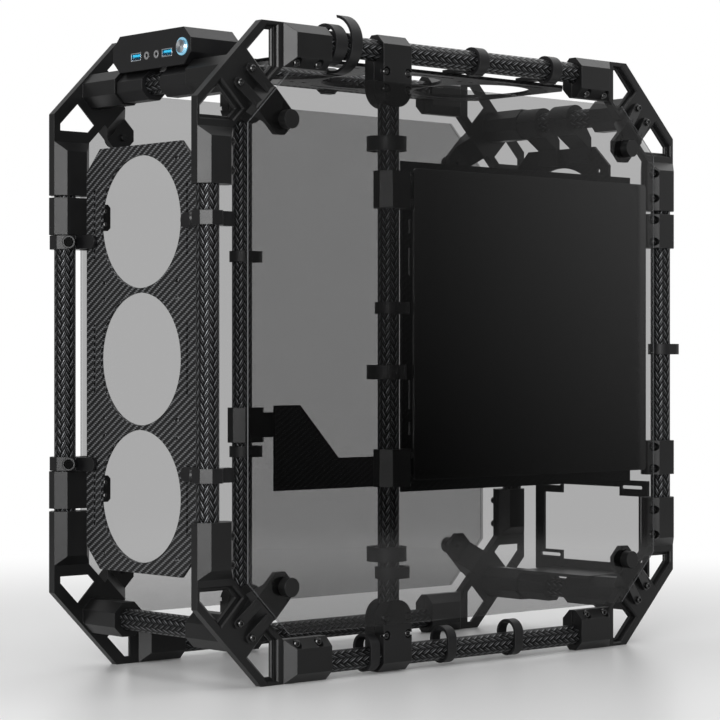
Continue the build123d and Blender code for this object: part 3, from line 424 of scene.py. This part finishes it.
def cap_screw(head_radius, head_height, key_radius, key_depth, rim=0.14, columns=30):
    """Socket cap screw head, axis up.

    Rings run from the floor of the six-sided key hole over its rim, the rounded top edge and the
    side to the foot. The key hole's radius at angle t is its flat distance over the cosine of t
    folded into one sixth of a turn."""
    turn = np.linspace(0, 2 * np.pi, columns, endpoint=False)
    folded = np.mod(turn, np.pi / 3) - np.pi / 6
    key = key_radius * np.cos(np.pi / 6) / np.cos(folded)
    round_one = np.ones(columns)
    edge = head_radius * rim
    chamfer = 0.0002
    rings = [
        (key * 0.02, head_height - key_depth),
        (key, head_height - key_depth),
        (key, head_height - chamfer),
        (key * 1.08, head_height),
        (round_one * (head_radius - edge), head_height),
        (round_one * head_radius, head_height - edge),
        (round_one * head_radius, 0.0),
    ]
    radii = np.array([r for r, _ in rings])
    heights = np.array([h for _, h in rings])[:, None] * np.ones(columns)
    points = np.stack([radii * np.cos(turn), radii * np.sin(turn), heights], axis=-1).reshape(-1, 3)
    return points, ring_faces(len(rings), columns)[:, ::-1]


def turned_to(points, places, axis):
    """Copies of points with their up axis turned to the given axis, one at each place."""
    axis = np.asarray(axis, float) / np.linalg.norm(axis)
    side = np.cross(axis, (0, 1, 0) if abs(axis[1]) < 0.9 else (0, 0, 1))
    side /= np.linalg.norm(side)
    basis = np.stack([side, np.cross(axis, side), axis])
    return np.asarray(places)[:, None, :] + (points @ basis)[None]


def many(name, shape, groups, material):
    """One piece of the same shape at many places. Each group is a list of places and their axis."""
    points, faces = shape
    blocks = np.concatenate([turned_to(points, places, axis) for places, axis in groups])
    shift = np.arange(len(blocks))[:, None, None] * len(points)
    mesh = bpy.data.meshes.new(name)
    mesh.from_pydata(blocks.reshape(-1, 3).tolist(), [], (faces[None] + shift).reshape(-1, 3).tolist())
    new_piece(name, mesh, material)


def mirrored_corners(u, v):
    """Places at u along the depth and v down the height, from each of the four corners of a side."""
    return [
        (y, z)
        for y in (FRONT_Y + u, REAR_Y - u)
        for z in (v, HEIGHT - v)
    ]


# Pinch screws along the clamp blocks, and screws that hold the panel arms
PINCH_INSET = 0.0343
PINCH_ALONG = (0.1065, 0.1310)
ARM_SCREW = (0.0563, 0.0433)
TEE_SCREW_HALF = 0.013
TEE_SCREW_INSETS = (0.034, 0.0495)
TAB_SCREW_INWARD = 0.0197
TAB_SCREW_HALF = 0.01075
SPARE_HEIGHTS = (0.4087, 0.1623)


def tab_seats(clamps):
    """Two screws on each tab clamp. A clamp is its post's place, the way inward, and its heights."""
    return [
        (post_y + inward * TAB_SCREW_INWARD, height + dz)
        for post_y, inward, heights in clamps
        for height in heights
        for dz in (-TAB_SCREW_HALF, TAB_SCREW_HALF)
    ]


pinch_seats = []
for along in PINCH_ALONG:
    pinch_seats += mirrored_corners(along, PINCH_INSET) + mirrored_corners(PINCH_INSET, along)
arm_seats = mirrored_corners(*ARM_SCREW) + mirrored_corners(*ARM_SCREW[::-1])
tee_seats = [
    (MID_Y + dy, z)
    for dy in (-TEE_SCREW_HALF, TEE_SCREW_HALF)
    for v in TEE_SCREW_INSETS
    for z in (v, HEIGHT - v)
]
tab_seats_right = tab_seats(((MID_Y, 1, (0.4319, 0.1826)), (REAR_POST_Y, -1, (0.4073, 0.1826))))
tab_seats_left = tab_seats(
    ((MID_Y, 1, (0.217,)), (REAR_POST_Y, -1, (0.168,)), (FRONT_POST_Y, 1, SPARE_HEIGHTS))
)


def on_sides(seats, x, sides=(1, -1)):
    """The same seats at X = x on the right and left, each with its outward axis."""
    return [([(sign * x, y, z) for y, z in seats], (sign, 0, 0)) for sign in sides]


def pocket_shape(seats, radius, floor_x, top_x, sign, columns=28):
    """Cylinders along X from floor to top at each seat, as closed shapes."""
    turn = np.linspace(0, 2 * np.pi, columns, endpoint=False)
    ring = np.stack([radius * np.cos(turn), radius * np.sin(turn)], axis=-1)
    rows = []
    for x, scale in ((floor_x, 0.0), (floor_x, 1.0), (top_x, 1.0), (top_x, 0.0)):
        rows.append(np.concatenate([np.full((columns, 1), sign * x), ring * scale], axis=1))
    shape = np.concatenate(rows)
    return [(shape + np.array([0, y, z]), ring_faces(4, columns)) for y, z in seats]


def wedge_shape(outline, low, high, axes):
    """Prism: the outline's two coordinates and a third from low to high, sent along three given axes."""
    outline = np.asarray(outline)
    count = len(outline)
    rows = []
    for third, scale in ((low, 0.0), (low, 1.0), (high, 1.0), (high, 0.0)):
        centre = outline.mean(axis=0)
        flat = centre + (outline - centre) * scale
        rows.append(np.concatenate([flat, np.full((count, 1), third)], axis=1))
    origin, first, second, along = (np.asarray(v, float) for v in axes)
    points = np.concatenate(rows) @ np.stack([first, second, along]) + origin
    return [(points, ring_faces(4, count))]


def joined_mesh(name, shapes):
    """One mesh from several closed shapes, with doubles merged and faces outward."""
    start = np.cumsum([0] + [len(points) for points, _ in shapes])
    points = np.concatenate([points for points, _ in shapes])
    faces = np.concatenate([faces + first for (_, faces), first in zip(shapes, start)])
    mesh = bpy.data.meshes.new(name)
    mesh.from_pydata(points.tolist(), [], faces.tolist())
    work = bmesh.new()
    work.from_mesh(mesh)
    bmesh.ops.remove_doubles(work, verts=work.verts, dist=1e-7)
    bmesh.ops.dissolve_degenerate(work, edges=work.edges, dist=1e-8)
    bmesh.ops.recalc_face_normals(work, faces=work.faces)
    work.to_mesh(mesh)
    work.free()
    return mesh


def merged_copy(node):
    """A solid's mesh with its loose triangles joined."""
    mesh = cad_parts[node].data.copy()
    work = bmesh.new()
    work.from_mesh(mesh)
    bmesh.ops.remove_doubles(work, verts=work.verts, dist=1e-6)
    work.to_mesh(mesh)
    work.free()
    return mesh


def milled(node, shapes, material):
    """Copy of a solid with closed shapes cut out of it. It stands for the solid."""
    cutter = bpy.data.objects.new(f"{node}_cutters", joined_mesh(f"{node}_cutters", shapes))
    piece = bpy.data.objects.new(f"{node}_milled", merged_copy(node))
    for thing in (cutter, piece):
        bpy.context.scene.collection.objects.link(thing)
    cut = piece.modifiers.new("pockets", "BOOLEAN")
    cut.operation = "DIFFERENCE"
    cut.solver = "EXACT"
    cut.use_self = True
    cut.object = cutter
    bpy.context.view_layer.update()
    done = bpy.data.meshes.new_from_object(piece.evaluated_get(bpy.context.evaluated_depsgraph_get()))
    done.attributes.remove(done.attributes["custom_normal"])
    done.shade_smooth()
    done.set_sharp_from_angle(angle=math.radians(25))
    piece.modifiers.clear()
    piece.data = done
    bpy.data.objects.remove(cutter)
    done.materials.clear()
    done.materials.append(material)
    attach(piece, "frame")
    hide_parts(node)


# Radius of the screw pockets, their floors, and how far a cutter goes past the metal
SEAT_RADIUS = 0.0042
PINCH_FLOOR = RIGHT_X + 0.0058
TEE_FLOOR = RIGHT_X + 0.0085
CUT_REACH = 0.02

# The panel arms: their outer face, their thickness where they are a strip, a place inside them all,
# and where along the corner's diagonal the strip's inner side starts and the cut is past the arm
PANEL_FACE = RIGHT_X + 0.0135
ARM_STRIP = 0.005
ARM_INNER = RIGHT_X - PLATE_HALF - 0.001
ARM_BEND = 0.097
ARM_CLEAR = 0.140


def pockets_in(node, seats, floor_x, sign):
    """Pocket shapes at the seats that lie on a node."""
    low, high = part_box(node)
    near = [(y, z) for y, z in seats if low.y < y < high.y and low.z < z < high.z]
    return pocket_shape(near, SEAT_RADIUS, floor_x, RIGHT_X + CUT_REACH, sign)


def corner_axes(back, down):
    """Directions in a side's plane: inward along a corner's diagonal, and across it."""
    return np.array([0, back, down]) / math.sqrt(2), np.array([0, back, -down]) / math.sqrt(2)


def arm_relief(node, sign):
    """What comes off the inner side of a panel arm, so that it is a thin strip that steps out.

    The outline runs along the corner's diagonal and along X, and is carried across the arm."""
    down = -1 if "top" in node else 1
    back = 1 if "front" in node else -1
    corner = (0, FRONT_Y if back == 1 else REAR_Y, HEIGHT if down == -1 else 0)
    diagonal, across = corner_axes(back, down)
    strip = PANEL_FACE - ARM_STRIP
    outline = [
        (ARM_BEND, ARM_INNER),
        (ARM_BEND + strip - ARM_INNER, strip),
        (ARM_CLEAR, strip),
        (ARM_CLEAR, ARM_INNER),
    ]
    return wedge_shape(outline, -CUT_REACH, CUT_REACH, (corner, diagonal, (sign, 0, 0), across))


# Corners, tees and tab clamps get their screw pockets
for node in sorted(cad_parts):
    side = 1 if "right" in node else -1
    if node.startswith("corner_"):
        milled(node, pockets_in(node, pinch_seats, PINCH_FLOOR, side) + arm_relief(node, side), anodised)
    elif node.startswith("tee_"):
        milled(node, pockets_in(node, tee_seats, TEE_FLOOR, side), anodised)
milled("tray_clamps", pockets_in("tray_clamps", tab_seats_right, PINCH_FLOOR, 1), anodised)
milled("riser_clamps", pockets_in("riser_clamps", tab_seats_left, PINCH_FLOOR, -1), anodised)

# Tabs of the two clamps on the front left post: a little shorter, with their corners taken off
TAB_END_Y = FRONT_POST_Y + 0.0416
TAB_HALF = 0.0122
TAB_NICK = 0.003
tab_ends = []
for height in SPARE_HEIGHTS:
    past = [
        (TAB_END_Y - TAB_NICK, -TAB_HALF),
        (TAB_END_Y, TAB_NICK - TAB_HALF),
        (TAB_END_Y, TAB_HALF - TAB_NICK),
        (TAB_END_Y - TAB_NICK, TAB_HALF),
        (TAB_END_Y + CUT_REACH, TAB_HALF),
        (TAB_END_Y + CUT_REACH, -TAB_HALF),
    ]
    axes = ((0, 0, height), (0, 1, 0), (0, 0, 1), (1, 0, 0))
    tab_ends += wedge_shape(past, -RIGHT_X - CUT_REACH, -RIGHT_X + CUT_REACH, axes)
milled("spare_clamps", pockets_in("spare_clamps", tab_seats_left, PINCH_FLOOR, -1) + tab_ends, anodised)

# Clips of the top plate keep only their ring and strap
CLIP_RING = 0.0132
TAIL_SIDE = 0.2
TAIL_MARGIN = 0.01
clip_low, clip_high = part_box("top_fan_clips")
tail_top = HEIGHT - TUBE_INSET - CLIP_RING
tail_foot = clip_low.z - TAIL_MARGIN
tail = [(-TAIL_SIDE, tail_foot), (TAIL_SIDE, tail_foot), (TAIL_SIDE, tail_top), (-TAIL_SIDE, tail_top)]
tail_axes = ((0, 0, 0), (1, 0, 0), (0, 0, 1), (0, 1, 0))
tail_box = wedge_shape(tail, clip_low.y - TAIL_MARGIN, clip_high.y + TAIL_MARGIN, tail_axes)
milled("top_fan_clips", tail_box, plastic)

pinch_head = cap_screw(0.0034, 0.0032, 0.0017, 0.0018, 0.2)
many(
    "pinch_screws",
    pinch_head,
    on_sides(pinch_seats, PINCH_FLOOR)
    + on_sides(tee_seats, TEE_FLOOR)
    + on_sides(tab_seats_right, PINCH_FLOOR, (1,))
    + on_sides(tab_seats_left, PINCH_FLOOR, (-1,)),
    fastener,
)


# Screws of the front clips, in a round seat on the slope that faces between inward and forward
CLIP_HEIGHTS = {1: (0.3988, 0.1820), -1: (0.38515, 0.1858)}
CLIP_INWARD = 0.0099
CLIP_FORWARD = 0.0014
SEAT_HEIGHT = 0.0081
SEAT_DEPTH = 0.0008


def round_boss(radius, height, rim, columns=36):
    """Disc, axis up, whose top is a ring round a shallow seat.

    Rings at shares of the radius run from the seat's middle over the rim and the edge to the foot."""
    turn = np.linspace(0, 2 * np.pi, columns, endpoint=False)
    seat = height - SEAT_DEPTH
    edge = height - 0.0003
    shares = np.array([0.02, rim, rim, 0.94, 1.0, 1.0])[:, None] * radius
    heights = np.array([seat, seat, height, height, edge, 0.0])[:, None] * np.ones(columns)
    points = np.stack([shares * np.cos(turn), shares * np.sin(turn), heights], axis=-1)
    return points.reshape(-1, 3), ring_faces(6, columns)[:, ::-1]


def clip_places(rise):
    """Places of the clip screws, this far out along the slope's direction, with that direction."""
    step = rise / math.sqrt(2)
    return [
        (
            [
                (sign * (RIGHT_X - CLIP_INWARD - step), FRONT_POST_Y - CLIP_FORWARD - step, z)
                for z in heights
            ],
            (-sign, -1, 0),
        )
        for sign, heights in CLIP_HEIGHTS.items()
    ]


screw_black = black_anodising("dull screw", 0.0003, 0.0010, (0.3, 0.4), 0.02)
many("clip_seats", round_boss(0.0060, SEAT_HEIGHT, 0.72), clip_places(0.0), satin)
clip_head = cap_screw(0.0042, 0.0009, 0.0018, 0.0007)
many("clip_screws", clip_head, clip_places(SEAT_HEIGHT - SEAT_DEPTH), screw_black)


# Each arm starts as two prongs with round ends, which rise from the corner's plate out to the panel
PRONG_HALF = 0.0048
PRONG_ACROSS = 0.0092
PRONG_START = 0.0704
PRONG_END = 0.0985
PRONG_LOW = 0.0032
PRONG_HIGH = 0.0093
PRONG_SINK = 0.001
SCREW_SINK = 0.0004


def prong_shape(start, end, half, low, high, columns=16):
    """Stadium-shaped block along its first axis: half circles of the given radius round both ends.

    Its top is at low + (high - low) min((d - start) / (end - start), 1) at the place d along."""
    turn = np.linspace(-np.pi / 2, np.pi / 2, columns)
    far = np.stack([end + half * np.cos(turn), half * np.sin(turn)], axis=-1)
    near = np.stack([start - half * np.cos(turn), -half * np.sin(turn)], axis=-1)
    outline = np.concatenate([far, near])
    centre = np.array([(start + end) / 2, 0.0])
    top = low + (high - low) * np.minimum((outline[:, 0] - start) / (end - start), 1.0)
    middle = np.full(len(outline), (low + high) / 2)
    foot = np.full(len(outline), -PRONG_SINK)
    rows = []
    for scale, height in ((0.0, foot), (1.0, foot), (1.0, top), (0.0, middle)):
        rows.append(np.column_stack([centre + (outline - centre) * scale, height]))
    return np.concatenate(rows), ring_faces(4, len(outline))


def arm_prongs():
    """Two prongs at each corner, on both sides of the case."""
    points, faces = prong_shape(PRONG_START, PRONG_END, PRONG_HALF, PRONG_LOW, PRONG_HIGH)
    shapes = []
    for sign in (1, -1):
        for back, corner_y in ((1, FRONT_Y), (-1, REAR_Y)):
            for down, corner_z in ((1, 0.0), (-1, HEIGHT)):
                diagonal, across = corner_axes(back, down)
                origin = np.array([sign * (RIGHT_X + PLATE_HALF), corner_y, corner_z])
                for shift in (-PRONG_ACROSS, PRONG_ACROSS):
                    moved = points + np.array([0, shift, 0])
                    shapes.append((moved @ np.stack([diagonal, across, (sign, 0, 0)]) + origin, faces))
    return joined_mesh("arm_prongs", shapes)


new_piece("arm_prongs", arm_prongs(), anodised)
arm_head = cap_screw(0.0031, 0.0034, 0.0015, 0.0016, 0.25)
arm_screw_x = RIGHT_X + PLATE_HALF + PRONG_LOW - SCREW_SINK
many("arm_screws", arm_head, on_sides(arm_seats, arm_screw_x), fastener)

# Camera at the photograph's place, with its focal length as it is in the photograph's pixels
SENSOR_WIDTH = 36.0
PHOTO_PIXELS = 720
FOCAL_PIXELS = 2442.13
CAMERA_PLACE = (1.71280, -1.56794, 0.27934)
CAMERA_LOOKS = (-0.7424, 0.6699, 0.0)
camera_data = bpy.data.cameras.new("camera")
camera_data.sensor_width = SENSOR_WIDTH
camera_data.sensor_fit = "HORIZONTAL"
camera_data.lens = SENSOR_WIDTH * FOCAL_PIXELS / PHOTO_PIXELS
camera_data.clip_end = 60.0
camera = bpy.data.objects.new("camera", camera_data)
camera.location = CAMERA_PLACE
camera.rotation_euler = Vector(CAMERA_LOOKS).to_track_quat("-Z", "Y").to_euler()
bpy.context.scene.collection.objects.link(camera)
bpy.context.scene.camera = camera


# Pale floor, studio world, soft lamps, and cards that only mirrors see
def flat_sheet(name, corner, first, second, material):
    """Flat sheet with one corner at a place and two sides along given vectors."""
    corner, first, second = Vector(corner), Vector(first), Vector(second)
    points = [corner, corner + first, corner + first + second, corner + second]
    mesh = bpy.data.meshes.new(name)
    mesh.from_pydata(points, [], [(0, 1, 2, 3)])
    piece = bpy.data.objects.new(name, mesh)
    bpy.context.scene.collection.objects.link(piece)
    mesh.materials.append(material)
    return piece


def seen_rays(f):
    """1 for rays from the camera, from mirrors and through clear faces. 0 for light on dull faces."""
    rays = f.node("ShaderNodeLightPath").outputs
    seen = f.math("MAXIMUM", rays["Is Camera Ray"], rays["Is Glossy Ray"])
    return f.math("MAXIMUM", seen, rays["Is Transmission Ray"])


def studio_floor():
    """White floor that keeps shadows near the case and turns into the plain background further out."""
    f = Finish("studio floor", (0.72, 0.72, 0.72), 0.35)
    f.shader.inputs["Specular IOR Level"].default_value = 0.25
    x, y, _ = f.place()
    far = f.math("SQRT", f.math("ADD", f.math("MULTIPLY", x, x), f.math("MULTIPLY", y, y)))
    edge = f.node("ShaderNodeMapRange", far, interpolation_type="SMOOTHSTEP")
    edge.inputs["From Min"].default_value = 0.45
    edge.inputs["From Max"].default_value = 1.3
    glow = f.node("ShaderNodeEmission")
    share = f.math("MULTIPLY", edge.outputs[0], seen_rays(f))
    mixed = f.node("ShaderNodeMixShader", share, f.shader.outputs[0], glow.outputs[0])
    f.links.new(mixed.outputs[0], f.nodes["Material Output"].inputs["Surface"])
    return f.material


flat_sheet("studio_floor", (-9, -9, 0), (18, 0, 0), (0, 18, 0), studio_floor())

world = bpy.data.worlds.new("studio")
world.use_nodes = True
bpy.context.scene.world = world
sky = Nodes(world.node_tree)
background = sky.nodes["Background"]
background.inputs["Color"].default_value = (1.0, 1.0, 1.0, 1.0)
sky.feed(background.inputs["Strength"], sky.between(seen_rays(sky), 0.45, 1.0))


def soft_lamp(name, place, target, width, height, power):
    """Area lamp aimed at a point."""
    data = bpy.data.lights.new(name, "AREA")
    data.shape = "RECTANGLE"
    data.size = width
    data.size_y = height
    data.energy = power
    lamp = bpy.data.objects.new(name, data)
    lamp.location = place
    lamp.rotation_euler = (Vector(target) - Vector(place)).to_track_quat("-Z", "Y").to_euler()
    bpy.context.scene.collection.objects.link(lamp)


soft_lamp("key", (1.45, -1.75, 0.55), (0, 0, 0.28), width=0.9, height=1.5, power=46.0)
soft_lamp("top_rear", (0.1, 1.6, 2.0), (0, 0, 0.3), width=3.0, height=1.5, power=12.0)
soft_lamp("top", (0.0, -0.2, 2.4), (0, 0, 0.3), width=1.6, height=1.6, power=18.0)


def studio_card(name, corner, first, second, glow):
    """Card that only mirrors in glossy faces see. It glows faintly by its place."""
    f = Finish(name, (0.0, 0.0, 0.0), 0.9)
    f.shader.inputs["Specular IOR Level"].default_value = 0.0
    f.shader.inputs["Emission Color"].default_value = (1.0, 1.0, 1.0, 1.0)
    f.feed(f.shader.inputs["Emission Strength"], glow(f))
    card = flat_sheet(name, corner, first, second, f.material)
    card.visible_camera = False
    card.visible_diffuse = False
    card.visible_transmission = False
    card.visible_shadow = False


def ramp(f, value, start, end):
    """Share from 0 at start to 1 at end."""
    made = f.node("ShaderNodeMapRange", value)
    made.inputs["From Min"].default_value = start
    made.inputs["From Max"].default_value = end
    return made.outputs[0]


def front_glow(f):
    """Dim grey, so that faces to the front aren't quite black."""
    height = f.place()[2]
    return f.between(ramp(f, height, 0.0, 1.2), 0.25, 0.55)


def side_glow(f):
    """From black low in front to white high at the rear, as the side sheet shows it."""
    x, _, z = f.place()
    rearward = ramp(f, x, 1.295, 1.011)
    upward = ramp(f, z, 0.09, 0.59)
    both = f.math("MULTIPLY", rearward, upward)
    tilted = f.math("MULTIPLY_ADD", rearward, 0.27, f.math("MULTIPLY", upward, 0.26))
    return f.math("MULTIPLY_ADD", both, 0.42, tilted)


studio_card("front_card", (-2.1, 0.3, -0.1), (2.6, -2.35, 0), (0, 0, 2.9), front_glow)
studio_card("rear_card", (0.05, 2.2, -0.1), (2.6, -2.35, 0), (0, 0, 2.9), side_glow)

bpy.context.scene.view_settings.view_transform = "Standard"
